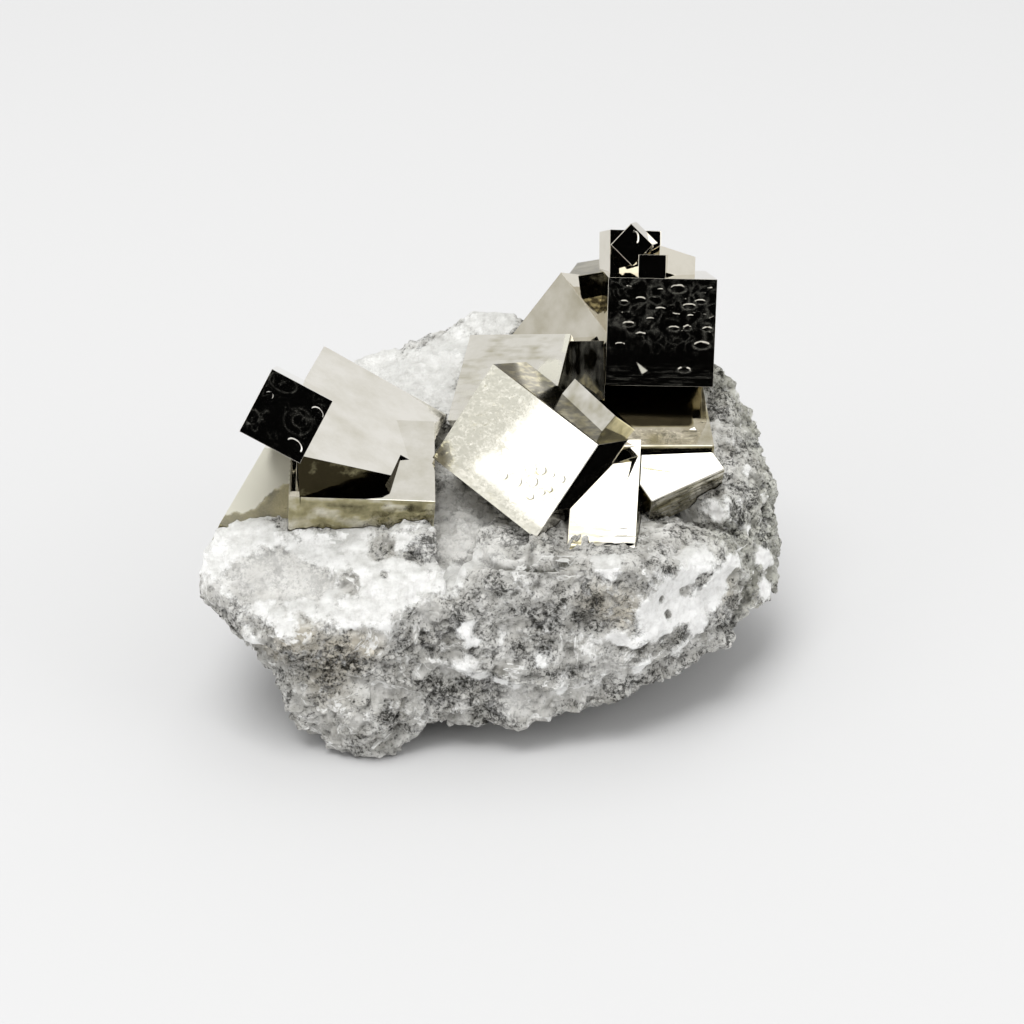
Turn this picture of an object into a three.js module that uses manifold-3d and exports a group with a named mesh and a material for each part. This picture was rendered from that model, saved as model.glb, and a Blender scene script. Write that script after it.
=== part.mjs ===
// Pyrite cubes grown together on a broken lump of pale marl.
// Millimetres, +Z up, +Y towards the back. The lump rests on a small flat foot at z = 0,
// and the origin is the middle of the foot of the whole specimen.
import * as THREE from 'three';
import { ConvexGeometry } from 'three/addons/geometries/ConvexGeometry.js';
import { mergeVertices } from 'three/addons/utils/BufferGeometryUtils.js';
import Module from 'manifold-3d';

const wasm = await Module();
wasm.setup();

// ---- driving dimensions ----------------------------------------------------------------
// A crystal is a box: size = its width, depth and height, at = its middle, and three turns:
// heading about the vertical, lean about its own width, roll about its own depth (degrees).
const LEFT_BLACK_CUBE = { size: [12.1, 13.2, 12.5], at: [-40.2, -17.7, 64.5], heading: 2, lean: -24, roll: 29 };
const LEFT_BROAD_PLATE = { size: [27.2, 13.0, 42.5], at: [-31.2, -4.6, 49.1], heading: 83, lean: -62, roll: 93 };
const LEFT_EDGE_PLATE = { size: [18.0, 7.0, 26.0], at: [-42.4, -6.2, 39.6], heading: 32, lean: -54, roll: 50 };
const LEFT_LOW_BLOCK = { size: [26.7, 24.0, 15.6], at: [-28.3, -7.2, 42.9], heading: 2, lean: 10, roll: 4 };
// the broad plate ends in a break that slants across it, with a step at its right corner
const LEFT_BREAK = { size: [60.0, 30.0, 50.0], at: [-25.8, -33.5, 51.9], heading: 18, lean: 12, roll: 25 };
const LEFT_NOTCH = { size: [12.0, 30.0, 20.0], at: [-17.2, -18.6, 48.4], heading: 83, lean: -62, roll: 93 };
const LEFT_END_CUT = { size: [16.0, 50.0, 12.5], at: [-47.5, -13.1, 47.6], heading: 6, lean: -29, roll: 0 };

const BRIGHT_BLOCK = { size: [25.2, 16.6, 21.4], at: [3.5, -5.9, 51.1], heading: -24, lean: -23, roll: 25 };
const REAR_PLATE = { size: [21.4, 21.0, 19.6], at: [3.1, 16.7, 48.5], heading: -38, lean: -55, roll: -19 };
const WEDGED_CUBE = { size: [12.5, 8.0, 9.2], at: [14.5, -1.2, 54.1], heading: -42, lean: -41, roll: 17 };

const FRONT_BLOCK = { size: [12.6, 9.0, 26.2], at: [17.7, -9.4, 39.8], heading: -16, lean: -64, roll: -10 };
const RIGHT_BLOCK = { size: [16.1, 11.0, 8.5], at: [30.4, -1.5, 42.6], heading: 32, lean: 24, roll: -12 };

const LEDGE_BLOCK = { size: [24.0, 12.0, 22.0], at: [25.4, 10.6, 45.7], heading: 13, lean: -77, roll: 9 };
const INNER_BLOCK = { size: [9.2, 10.0, 11.5], at: [13.8, 17.6, 55.8], heading: -8, lean: -24, roll: -4 };
const GREAT_CUBE = { size: [20.8, 19.0, 20.7], at: [28.2, 23.1, 62.4], heading: 2, lean: -19, roll: 2 };
const BEIGE_CUBE = { size: [18.0, 14.0, 17.3], at: [13.9, 26.6, 58.3], heading: -45, lean: -22, roll: 27 };
const GREY_BLOCK = { size: [9.6, 14.0, 16.0], at: [18.1, 35.4, 61.4], heading: -11, lean: -11, roll: -14 };
const SUMMIT_CUBE = { size: [10.5, 7.0, 8.6], at: [23.2, 33.0, 73.7], heading: 17, lean: -26, roll: 8 };
const SUMMIT_DIAMOND = { size: [5.9, 6.0, 5.7], at: [23.7, 28.2, 77.8], heading: -14, lean: -19, roll: 39 };
const SUMMIT_BRICK = { size: [5.3, 6.0, 5.0], at: [27.4, 25.3, 74.1], heading: -10, lean: -22, roll: -3 };
const SUMMIT_SLAB = { size: [8.4, 8.0, 5.3], at: [30.1, 29.4, 71.6], heading: 41, lean: -40, roll: 33 };

// gap kept between neighbours that only touch
const GAP = 0.3;

// The matrix is a few broken chunks grown into one lump. A chunk is the hull of its corners
// (mm), seen from its middle "at"; grain is the height of the broken surface in mm, and
// detail sets how fine its facets are.
const CORE = {
  at: [-4, 2, 20],
  grain: 0.9,
  detail: 12,
  corners: [
    [-57, -19, 27], [-42, -35, 27], [-12, -33, 33], [-39, -30, 6], [-12, -31, 6], [0, -31, 6],
    [24, -28, 11.5], [41, -18, 14.5], [48, -5, 19], [-57, -14, 31], [-51, -24, 21],
    [-42, -22, 37], [-52, 12, 33], [-44, 28, 30], [-32, 33, 46], [-8, 35, 50], [20, 34, 48],
    [48, 20, 36], [52, 8, 21], [-42, 30, 4], [-20, 38, -2], [20, 38, -2], [42, 28, 8],
    [-20, 42, 30], [20, 44, 30], [-37, -14, -1], [-38, 20, -2], [24, 14, -2], [6, -10, -2],
  ],
};
const FRONT_CHUNK = {
  at: [12, -16, 25],
  grain: 0.8,
  detail: 8,
  corners: [
    [-2, -31, 39.5], [24, -29, 39], [36, -20, 34], [46, -8, 32], [-11, -33, 33], [-10, -32, 7.5],
    [1, -32, 6.5], [24, -29, 11.5], [41, -18, 14.5], [-6, -16, 40], [30, -12, 38], [10, 6, 36],
    [10, 6, 12],
  ],
};
const RIGHT_SHOULDER = {
  at: [38, 14, 34],
  grain: 0.9,
  detail: 7,
  corners: [
    [41, 31, 52], [30, 34, 50], [46.5, 25, 45], [51, 10, 37], [50, 0, 30], [40, -7, 40], [43, 6, 45],
    [34, 20, 51], [28, 0, 40], [52, 6, 19], [52.5, 6, 24], [52, 0, 15.5], [47, -9, 17], [46, 24, 14],
    [26, 10, 20],
  ],
};
const BACK_RIDGE = {
  at: [-10, 27, 44],
  grain: 0.9,
  detail: 7,
  corners: [
    [-31, 33, 50], [-24, 34, 51], [-13, 35, 55.5], [-8, 36, 59.5], [-2, 36, 59], [3, 36, 56],
    [12, 37, 52], [-34, 20, 44], [-14, 12, 46], [10, 14, 46], [-10, 42, 40], [-30, 38, 36],
    [20, 40, 36], [-10, 24, 30],
  ],
};
const LEFT_TERRACE = {
  at: [-38, -14, 28],
  grain: 0.7,
  detail: 7,
  corners: [
    [-57, -19, 33.5], [-55.5, -17, 41], [-57, -24, 28], [-50, -31, 26], [-41, -35, 28], [-12, -32, 34],
    [-14, -20.3, 43.2], [-31, -21, 41], [-43, -21, 38.6], [-50, -20, 39.2], [-42.5, -13.5, 39.6], [-20, -8, 42],
    [-50, -6, 38.5], [-40, -28, 14], [-30, -4, 14], [-52, -14, 20],
  ],
};
const FRONT_NOSE = {
  at: [-28, -20, 12],
  grain: 0.7,
  detail: 7,
  corners: [
    [-42, -30, 9], [-38.5, -29, 3], [-33, -33, 1.5], [-27, -34, 0.5], [-22, -34, 0], [-16, -32, 5],
    [-13, -32, 10], [-14, -33, 22], [-40, -33, 22], [-26, -36, 18], [-26, -36, 6], [-34, -8, -2],
    [-18, -8, -2], [-26, 6, 14],
  ],
};
const ROUND_LUMP = {
  at: [5.5, -22.5, 37.5],
  grain: 0.4,
  detail: 4,
  corners: [
    [1, -23, 37], [10, -23, 37], [5, -27.5, 37], [5, -18, 37], [3, -25.5, 40.5], [8, -25.5, 40.5],
    [3, -20, 41.5], [8, -20, 41.5], [5.5, -22.5, 32],
  ],
};
// ---- small helpers ---------------------------------------------------------------------
function solidOf(geometry) {
  const bare = geometry.clone();
  bare.deleteAttribute('normal');
  bare.deleteAttribute('uv');
  const merged = mergeVertices(bare, 1e-4);
  return new wasm.Manifold(new wasm.Mesh({
    numProp: 3,
    vertProperties: new Float32Array(merged.attributes.position.array),
    triVerts: new Uint32Array(merged.index.array),
  }));
}

function geometryOf(solid) {
  const mesh = solid.getMesh();
  const geometry = new THREE.BufferGeometry();
  geometry.setAttribute('position', new THREE.BufferAttribute(new Float32Array(mesh.vertProperties), 3));
  geometry.setIndex(new THREE.BufferAttribute(new Uint32Array(mesh.triVerts), 1));
  geometry.computeVertexNormals();
  return geometry;
}

function joined(solids) {
  return solids.reduce((whole, next) => whole.add(next));
}

function cutBy(solid, cutters) {
  return cutters.reduce((rest, next) => rest.subtract(next), solid);
}

// the largest piece left when a cut sheds slivers
function largestPiece(solid) {
  return solid.decompose().reduce((largest, next) => (next.volume() > largest.volume() ? next : largest));
}

// ---- crystals --------------------------------------------------------------------------
// one cube or block of pyrite, grown on every side by the given margin
function crystal({ size, at, heading, lean, roll }, margin = 0) {
  const box = new THREE.BoxGeometry(size[0] + 2 * margin, size[1] + 2 * margin, size[2] + 2 * margin);
  const turn = new THREE.Euler(
    THREE.MathUtils.degToRad(lean),
    THREE.MathUtils.degToRad(roll),
    THREE.MathUtils.degToRad(heading),
    'ZXY',
  );
  box.applyMatrix4(new THREE.Matrix4().makeRotationFromEuler(turn).setPosition(...at));
  return solidOf(box);
}

function grownTogether(crystals, margin = 0) {
  return joined(crystals.map((one) => crystal(one, margin)));
}

const LEFT_CRYSTALS = [LEFT_BLACK_CUBE, LEFT_EDGE_PLATE, LEFT_LOW_BLOCK];
const CENTRE_CRYSTALS = [BRIGHT_BLOCK, REAR_PLATE, WEDGED_CUBE];
const UPPER_CRYSTALS = [
  LEDGE_BLOCK, INNER_BLOCK, GREAT_CUBE, BEIGE_CUBE, GREY_BLOCK,
  SUMMIT_CUBE, SUMMIT_DIAMOND, SUMMIT_BRICK, SUMMIT_SLAB,
];

// the broad plate, ended by its break, its notch and the gap at its left end
function broadPlate(margin = 0) {
  const cuts = [LEFT_BREAK, LEFT_NOTCH, LEFT_END_CUT].map((one) => crystal(one, -margin));
  return cutBy(crystal(LEFT_BROAD_PLATE, margin), cuts);
}

// the broad plate, the low cream block under its break, the edge plate, and the black cube on top
function leftCluster(margin = 0) {
  return grownTogether(LEFT_CRYSTALS, margin).add(broadPlate(margin));
}

// the big bright block, the plate that stands behind it, and the small cube wedged between
function centreCluster() {
  return grownTogether(CENTRE_CRYSTALS);
}

// the great black cube on its ledge, the beige cube at its side, and the small cubes on top
function upperCluster() {
  const around = grownTogether(CENTRE_CRYSTALS, GAP);
  return cutBy(grownTogether(UPPER_CRYSTALS), [around]);
}

// the striated block that stands against the bright block's right side
function frontBlock() {
  const around = grownTogether(CENTRE_CRYSTALS, GAP).add(grownTogether(UPPER_CRYSTALS, GAP));
  return largestPiece(cutBy(crystal(FRONT_BLOCK), [around]));
}

// the bright block at the right, under the ledge
function rightBlock() {
  const around = grownTogether([...UPPER_CRYSTALS, ...CENTRE_CRYSTALS, FRONT_BLOCK], GAP);
  return largestPiece(cutBy(crystal(RIGHT_BLOCK), [around]));
}

// ---- matrix ----------------------------------------------------------------------------
// broken-rock relief between -1 and 1: crossed waves of three wavelengths (mm)
function relief(p, wavelengths = [23, 9.5, 4.7]) {
  const weights = [0.55, 0.3, 0.2];
  return wavelengths.reduce((sum, wave, i) => {
    const k = (2 * Math.PI) / wave;
    const a = Math.sin(k * (p.x + 0.6 * p.y) + 1.7 * i) * Math.sin(k * (p.z - 0.4 * p.x) + 0.9);
    const b = Math.sin(k * (p.y - 0.5 * p.z) + 2.3 * i + 0.6) * Math.sin(k * 0.8 * (p.x + p.z));
    return sum + weights[i] * (a + b);
  }, 0);
}

// the planes of the hull of a chunk's corners, as seen from its middle
function wallsOf(corners, middle) {
  const hull = new ConvexGeometry(corners.map((corner) => new THREE.Vector3(...corner).sub(middle)));
  const spot = hull.attributes.position;
  const walls = [];
  for (let i = 0; i < spot.count; i += 3) {
    const [a, b, c] = [0, 1, 2].map((k) => new THREE.Vector3().fromBufferAttribute(spot, i + k));
    const plane = new THREE.Plane().setFromCoplanarPoints(a, b, c);
    walls.push({ normal: plane.normal, distance: -plane.constant });
  }
  return walls;
}

// a chunk: a fine ball pulled in to its hull, with the relief on its surface
function chunk({ at, grain, detail, corners }) {
  const ball = new THREE.IcosahedronGeometry(1, detail);
  ball.deleteAttribute('normal');
  ball.deleteAttribute('uv');
  const surface = mergeVertices(ball, 1e-5);
  const middle = new THREE.Vector3(...at);
  const walls = wallsOf(corners, middle);
  const spot = surface.attributes.position;
  for (let i = 0; i < spot.count; i += 1) {
    const ray = new THREE.Vector3().fromBufferAttribute(spot, i).normalize();
    const radius = walls.reduce((nearest, { normal, distance }) => {
      const along = ray.dot(normal);
      return along > 0.02 ? Math.min(nearest, distance / along) : nearest;
    }, 200);
    const point = ray.clone().multiplyScalar(radius).add(middle);
    point.addScaledVector(ray, grain * relief(point));
    spot.setXYZ(i, point.x, point.y, point.z);
  }
  return solidOf(surface);
}

// everything below the ground, cut away so the lump stands on a flat foot
function ground() {
  const block = new THREE.BoxGeometry(400, 400, 100);
  block.translate(0, 0, -50);
  return solidOf(block);
}

// the lump of marl, with a socket around each crystal that stands in it
function matrix() {
  const chunks = [CORE, FRONT_CHUNK, RIGHT_SHOULDER, BACK_RIDGE, LEFT_TERRACE, FRONT_NOSE, ROUND_LUMP];
  const lump = joined(chunks.map(chunk));
  const crystals = [...CENTRE_CRYSTALS, ...UPPER_CRYSTALS, FRONT_BLOCK, RIGHT_BLOCK];
  return largestPiece(cutBy(lump, [ground(), grownTogether(crystals, GAP), leftCluster(GAP)]));
}

// ---- the specimen ----------------------------------------------------------------------
function named(name, solid, material) {
  const mesh = new THREE.Mesh(geometryOf(solid), material);
  mesh.name = name;
  return mesh;
}

function pyrite(color, roughness) {
  return new THREE.MeshStandardMaterial({ color, roughness, metalness: 1 });
}

const specimen = new THREE.Group();
specimen.add(
  named('matrix', matrix(), new THREE.MeshStandardMaterial({ color: '#c9c7c2', roughness: 0.95, metalness: 0 })),
  named('left_cluster', leftCluster(), pyrite('#ddd9cb', 0.12)),
  named('centre_cluster', centreCluster(), pyrite('#e2dfd3', 0.14)),
  named('front_block', frontBlock(), pyrite('#e0dccd', 0.16)),
  named('right_block', rightBlock(), pyrite('#e0dccd', 0.14)),
  named('upper_cluster', upperCluster(), pyrite('#d6d1c0', 0.1)),
);

// set the middle of the foot at the origin
const extent = new THREE.Box3().setFromObject(specimen);
const middle = extent.getCenter(new THREE.Vector3());
specimen.position.set(-middle.x, -middle.y, -extent.min.z);
specimen.updateMatrixWorld(true);

export default specimen;
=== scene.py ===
import math

import bmesh
import bpy
from mathutils import Matrix, Vector, noise


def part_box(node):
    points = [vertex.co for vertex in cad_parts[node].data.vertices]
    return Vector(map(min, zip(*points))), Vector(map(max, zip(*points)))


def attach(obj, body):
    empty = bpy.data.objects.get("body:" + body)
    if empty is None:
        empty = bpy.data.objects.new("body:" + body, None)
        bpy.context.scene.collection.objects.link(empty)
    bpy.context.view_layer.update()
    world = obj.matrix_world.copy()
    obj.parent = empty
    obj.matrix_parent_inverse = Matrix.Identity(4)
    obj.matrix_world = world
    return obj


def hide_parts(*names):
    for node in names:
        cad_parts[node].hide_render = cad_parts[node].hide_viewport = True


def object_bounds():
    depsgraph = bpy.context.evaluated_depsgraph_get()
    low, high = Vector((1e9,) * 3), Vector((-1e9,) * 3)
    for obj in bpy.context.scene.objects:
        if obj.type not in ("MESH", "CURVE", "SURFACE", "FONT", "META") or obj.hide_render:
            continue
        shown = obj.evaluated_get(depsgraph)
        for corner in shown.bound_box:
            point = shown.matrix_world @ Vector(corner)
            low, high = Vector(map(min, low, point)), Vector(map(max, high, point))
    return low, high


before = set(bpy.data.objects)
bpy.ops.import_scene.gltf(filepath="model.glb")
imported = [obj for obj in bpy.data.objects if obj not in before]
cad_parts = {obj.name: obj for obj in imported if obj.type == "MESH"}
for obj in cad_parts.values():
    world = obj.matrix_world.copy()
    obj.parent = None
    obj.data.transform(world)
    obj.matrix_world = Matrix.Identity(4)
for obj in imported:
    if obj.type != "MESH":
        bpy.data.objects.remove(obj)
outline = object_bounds()


# ---- The studio ------------------------------------------------------------------------
# The specimen stands on a pale table in a white room. Dark cards stand in front of it and
# over its front half, so the crystal faces that look forward mirror black. Softboxes behind
# the zenith, to the left and to the right give the other faces their white shine, and a
# large fill light that no face mirrors lights the stone.
MM = 0.001
VIEW_CENTRE = (2.1, -4.3, 34.0)
VIEW_DISTANCE = 443.9
VIEW_ELEVATION = 30.0
LENS = 80.86
SENSOR = 36.0
TABLE_SIDE = 6.0
TABLE_COLOUR = "#BEBEBE"
CARD_COLOUR = "#050505"
CARD_SIZE = (1.7, 1.5)
CARD_AZIMUTH = 15.0
CARD_DISTANCE = 0.9
ROOM_STRENGTH = 0.88
ROOM_SIDE_CHANGE = 0.09
UPPER_CARD_SIZE = (1.5, 1.2)
UPPER_CARD_PLACE = (0.15, -0.68, 0.95)
SIDE_LIGHT = {"azimuth": -56.0, "elevation": 19.0, "distance": 0.85, "sides": (0.5, 0.5), "power": 1.06}
RIGHT_LIGHT = {"azimuth": 64.0, "elevation": 30.0, "distance": 0.85, "sides": (0.42, 0.42), "power": 0.94}
TOP_LIGHT = {"azimuth": 180.0, "elevation": 72.0, "distance": 1.07, "sides": (0.6, 0.44), "power": 1.3}
FILL_LIGHT = {"azimuth": -35.0, "elevation": 74.0, "distance": 3.2, "sides": (1.7, 1.7), "power": 78.0}


def linear(colour):
    values = [int(colour[i:i + 2], 16) / 255 for i in (1, 3, 5)]
    return [v / 12.92 if v <= 0.04045 else ((v + 0.055) / 1.055) ** 2.4 for v in values] + [1.0]


def add_node(tree, kind, settings=None, links=None):
    made = tree.nodes.new(kind)
    for name, value in (settings or {}).items():
        if isinstance(name, str) and hasattr(made, name):
            setattr(made, name, value)
        else:
            made.inputs[name].default_value = value
    for name, source in (links or {}).items():
        tree.links.new(source, made.inputs[name])
    return made


def direction(azimuth, elevation):
    a = math.radians(azimuth)
    e = math.radians(elevation)
    return Vector((math.sin(a) * math.cos(e), -math.cos(a) * math.cos(e), math.sin(e)))


def new_material(name):
    material = bpy.data.materials.new(name)
    material.use_nodes = True
    material.node_tree.nodes.clear()
    return material


def stage_panel(name, width, height, place, facing, colour, roughness):
    mesh = bpy.data.meshes.new(name)
    w = width / 2
    h = height / 2
    turn = facing.to_track_quat("Z", "Y").to_matrix()
    corners = [turn @ Vector(c) + place for c in ((-w, -h, 0), (w, -h, 0), (w, h, 0), (-w, h, 0))]
    mesh.from_pydata(corners, [], [(0, 1, 2, 3)])
    panel = bpy.data.objects.new(name, mesh)
    bpy.context.scene.collection.objects.link(panel)
    material = new_material(name)
    tree = material.node_tree
    shader = add_node(tree, "ShaderNodeBsdfPrincipled", {
        "Base Color": linear(colour), "Roughness": roughness, "Specular IOR Level": 0.0})
    add_node(tree, "ShaderNodeOutputMaterial", links={"Surface": shader.outputs[0]})
    mesh.materials.append(material)
    return panel


def softbox(name, azimuth, elevation, distance, sides, power):
    light = bpy.data.lights.new(name, "AREA")
    light.shape = "RECTANGLE"
    light.size = sides[0]
    light.size_y = sides[1]
    light.energy = power
    lamp = bpy.data.objects.new(name, light)
    way = direction(azimuth, elevation)
    lamp.location = aim + way * distance
    lamp.rotation_euler = way.to_track_quat("Z", "Y").to_euler()
    lamp.visible_camera = False
    bpy.context.scene.collection.objects.link(lamp)
    return lamp


low = Vector(outline[0])
high = Vector(outline[1])
stand = Vector(((low.x + high.x) / 2, (low.y + high.y) / 2, low.z))
aim = stand + Vector(VIEW_CENTRE) * MM

camera_data = bpy.data.cameras.new("camera")
camera_data.lens = LENS
camera_data.sensor_width = SENSOR
camera = bpy.data.objects.new("camera", camera_data)
camera.location = aim + direction(0, VIEW_ELEVATION) * VIEW_DISTANCE * MM
camera.rotation_euler = (math.radians(90 - VIEW_ELEVATION), 0, 0)
bpy.context.scene.collection.objects.link(camera)
bpy.context.scene.camera = camera
bpy.context.scene.view_settings.view_transform = "Standard"

stage_panel("table", TABLE_SIDE, TABLE_SIDE, stand, Vector((0, 0, 1)), TABLE_COLOUR, 0.9)
card_way = direction(CARD_AZIMUTH, 0)
card_place = stand + card_way * CARD_DISTANCE + Vector((0, 0, CARD_SIZE[1] / 2))
card = stage_panel("dark card", CARD_SIZE[0], CARD_SIZE[1], card_place, -card_way, CARD_COLOUR, 0.9)
upper_card = stage_panel("upper card", UPPER_CARD_SIZE[0], UPPER_CARD_SIZE[1],
                         stand + Vector(UPPER_CARD_PLACE), Vector((0, 0, -1)), CARD_COLOUR, 0.9)
for panel in (card, upper_card):
    panel.visible_camera = False
    panel.visible_diffuse = False
    panel.visible_shadow = False
softbox("side light", **SIDE_LIGHT)
softbox("right light", **RIGHT_LIGHT)
softbox("top light", **TOP_LIGHT)
fill_light = softbox("fill light", **FILL_LIGHT)
fill_light.visible_glossy = False

world = bpy.data.worlds.new("white room")
world.use_nodes = True
bpy.context.scene.world = world
room = world.node_tree
room.nodes.clear()
room_way = add_node(room, "ShaderNodeTexCoord")
room_axes = add_node(room, "ShaderNodeSeparateXYZ", links={0: room_way.outputs["Generated"]})
room_level = add_node(room, "ShaderNodeMath", {"operation": "MULTIPLY_ADD", 1: ROOM_SIDE_CHANGE,
                      2: ROOM_STRENGTH}, {0: room_axes.outputs["X"]})
room_light = add_node(room, "ShaderNodeBackground", {"Color": (1, 1, 1, 1)},
                      {"Strength": room_level.outputs[0]})
add_node(room, "ShaderNodeOutputWorld", links={"Surface": room_light.outputs[0]})


# ---- The marl matrix -------------------------------------------------------------------
# One broken block of light grey marl: overlapping blocky chunks, a round lump in front of
# the crystals with a crack under it, and white calcite crust on the left shelf, the right
# slope, the back ridge and in thin veins. The crystals later get sockets cut in it.
ROCK_VOXEL = 0.6
# The chunks' corners, in mm, and where their zero lies, seen from the middle of the stone's foot.
ROCK_SHIFT = (2.1, -3.9, 0.0)
CORE = (
    (-57, -19, 27), (-42, -35, 27), (-12, -33, 33), (-39, -30, 6), (-12, -31, 6), (0, -31, 6),
    (24, -28, 11.5), (41, -18, 14.5), (48, -5, 19), (-57, -14, 31), (-51, -24, 21), (-42, -22, 37),
    (-52, 12, 33), (-44, 28, 30), (-32, 33, 46), (-8, 35, 50), (20, 34, 48), (48, 20, 36), (52, 8, 21),
    (-42, 30, 4), (-20, 38, -2), (20, 38, -2), (42, 28, 8), (-20, 42, 30), (20, 44, 30), (-37, -14, -1),
    (-38, 20, -2), (24, 14, -2), (6, -10, -2))
FRONT_CHUNK = (
    (-2, -31, 39.5), (24, -29, 39), (36, -20, 34), (46, -8, 32), (-11, -33, 33), (-10, -32, 7.5),
    (1, -32, 6.5), (24, -29, 11.5), (41, -18, 14.5), (-6, -16, 40), (30, -12, 38), (10, 6, 36),
    (10, 6, 12))
RIGHT_SHOULDER = (
    (41, 31, 52), (30, 34, 50), (46.5, 25, 45), (51, 10, 37), (50, 0, 30), (40, -7, 40), (43, 6, 45),
    (34, 20, 51), (28, 0, 40), (52, 6, 19), (52.5, 6, 24), (52, 0, 15.5), (47, -9, 17), (46, 24, 14),
    (26, 10, 20))
BACK_RIDGE = (
    (-31, 33, 50), (-24, 34, 51), (-13, 35, 55.5), (-8, 36, 59.5), (-2, 36, 59), (3, 36, 56),
    (12, 37, 52), (-34, 20, 44), (-14, 12, 46), (10, 14, 46), (-10, 42, 40), (-30, 38, 36),
    (20, 40, 36), (-10, 24, 30))
LEFT_TERRACE = (
    (-57, -19, 33.5), (-55.5, -17, 41), (-57, -24, 28), (-50, -31, 26), (-41, -35, 28), (-12, -32, 34),
    (-14, -20.3, 43.2), (-31, -21, 41), (-43, -21, 38.6), (-50, -20, 39.2), (-42.5, -13.5, 39.6),
    (-20, -8, 42), (-50, -6, 38.5), (-40, -28, 14), (-30, -4, 14), (-52, -14, 20))
FRONT_NOSE = (
    (-42, -30, 9), (-38.5, -29, 3), (-33, -33, 1.5), (-27, -34, 0.5), (-22, -34, 0), (-16, -32, 5),
    (-13, -32, 10), (-14, -33, 22), (-40, -33, 22), (-26, -36, 18), (-26, -36, 6), (-34, -8, -2),
    (-18, -8, -2), (-26, 6, 14))
ROUND_LUMP = (
    (1, -23, 37), (10, -23, 37), (5, -27.5, 37), (5, -18, 37), (3, -25.5, 40.5), (8, -25.5, 40.5),
    (3, -20, 41.5), (8, -20, 41.5), (5.5, -22.5, 32))
# Round patches, as x, y, z and spread in mm from the middle of the stone's foot: the crust
# on the left shelf, the veins of the front, the crust of the right slope and of the ridge.
SHELF_CRUST = (
    (-52.8, -24.6, 35.3, 4), (-49.9, -23.5, 38.3, 5.5), (-45.3, -22.2, 40.3, 4.5),
    (-47.8, -30.3, 32.3, 2.4), (-43.4, -34.5, 30.7, 2.4), (-44.9, -35.5, 25.2, 2),
    (-39, -37.6, 29.2, 2.2), (-36.4, -34.2, 32.4, 3.6), (-36.7, -26.6, 39.5, 4),
    (-30.2, -27.5, 40, 4.5), (-30, -35.3, 32.2, 4.2), (-25.8, -25.2, 41.5, 3), (-22.8, -29.7, 38.8, 5),
    (-23.6, -34.9, 33.5, 4.6), (-18.4, -26, 40.9, 3), (-17.8, -34.2, 34.8, 4.4),
    (-16.1, -29.5, 38.2, 5), (-14.8, -24.4, 41, 2.5), (-10.1, -29.5, 34.9, 3.5),
    (-11.2, -24.7, 35.8, 3.5), (-8.5, -28.5, 35.5, 3.5), (-5.5, -28, 36, 2.5))
FRONT_VEINS = (
    (-6.1, -36.4, 29, 1.5), (-5.5, -36, 25.5, 1.5), (-5.6, -35.8, 22.1, 1.6), (-7.8, -36, 19.4, 2),
    (-3.8, -36.2, 17.8, 1.7), (-0.1, -35.9, 16.6, 1.5), (2.7, -35.5, 15.7, 1.3),
    (-0.1, -35.9, 25.5, 1.4), (7.3, -35, 20.5, 1.5), (11, -34.9, 13.8, 1.6), (18.5, -33.9, 15.3, 1.8),
    (16.4, -34.9, 22.6, 1.8), (21.4, -33.2, 24.6, 1.6), (24.7, -32.5, 22.8, 1.6),
    (22, -33.1, 23.6, 1.6), (25.9, -32.6, 17.8, 1.8), (33.6, -28.2, 18.2, 2.1),
    (17.7, -31.3, 39.2, 2.2), (19.9, -31.8, 39, 2.2))
RIGHT_CRUST = (
    (28.6, -30.9, 24.8, 3.6), (27.4, -31.8, 29.4, 3.2), (29.6, -30.8, 33.5, 3.4),
    (31.2, -29.8, 30.3, 3.2), (32.9, -28.7, 27.4, 3.4), (35, -26.6, 33.7, 2.9),
    (36.4, -23.7, 35.2, 3.9), (37.2, -25.2, 25.2, 3.2), (37.4, -25.7, 22.2, 2.3),
    (39.2, -22.8, 28.3, 4.4), (41.2, -20.2, 28.7, 2.6), (43.2, -17.7, 31.6, 1.8),
    (40.9, -9.9, 37.5, 2.6), (44.7, -6.9, 38.4, 1.5), (47.1, 0.5, 40.8, 1.3), (47.8, -7.7, 32.2, 1.8),
    (50.2, -7.8, 26.2, 1.9), (52.3, -5.8, 24.3, 2), (51.3, -8.2, 19, 2.6))
RIDGE_CRUST = (
    (-27.5, 28.2, 49, 5), (-24.2, 22.8, 49.1, 6), (-20, 16.3, 47.9, 5), (-16.1, 21.3, 51.6, 6),
    (-12, 14.4, 48.9, 5), (-10.2, 25.2, 54.5, 5), (-3.3, 29.7, 57.9, 5), (-0.3, 31.3, 58.3, 4))
CALCITE = SHELF_CRUST + FRONT_VEINS + RIGHT_CRUST + RIDGE_CRUST
# bare stone within the crust, and stone stained a warm colour
BARE_PATCHES = (
    (-46.8, -28.9, 34.5, 2.6), (-42.2, -29.1, 35.9, 3.2), (-37.5, -30.1, 35.9, 3),
    (-33.8, -32.4, 34.1, 1.6), (-27, -32.7, 35.3, 1.5), (-21, -31.7, 36.8, 1), (-21.5, -27, 39.5, 2.8),
    (-15.5, -27, 38.5, 3.2), (-11, -25, 37, 3), (34.5, -27.2, 30.5, 1.1), (31, -29.8, 27, 0.9),
    (37.5, -24.5, 31.5, 1), (30, -30.5, 30.6, 0.8))
OCHRE = (
    (-32, -38, 22.5, 4), (-28.4, -37.7, 23.4, 4), (-34.5, -38.3, 27, 3), (-24.6, -37.6, 25.5, 3),
    (-33.2, -38.3, 16.1, 4), (-38.2, -38.2, 27, 3), (-42.6, -33.6, 20.7, 3), (18.2, -33.4, 32.6, 4),
    (22.8, -32.8, 30, 3.5), (41.3, -20.7, 26.7, 3), (47.3, -10.4, 18.1, 3))
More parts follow.
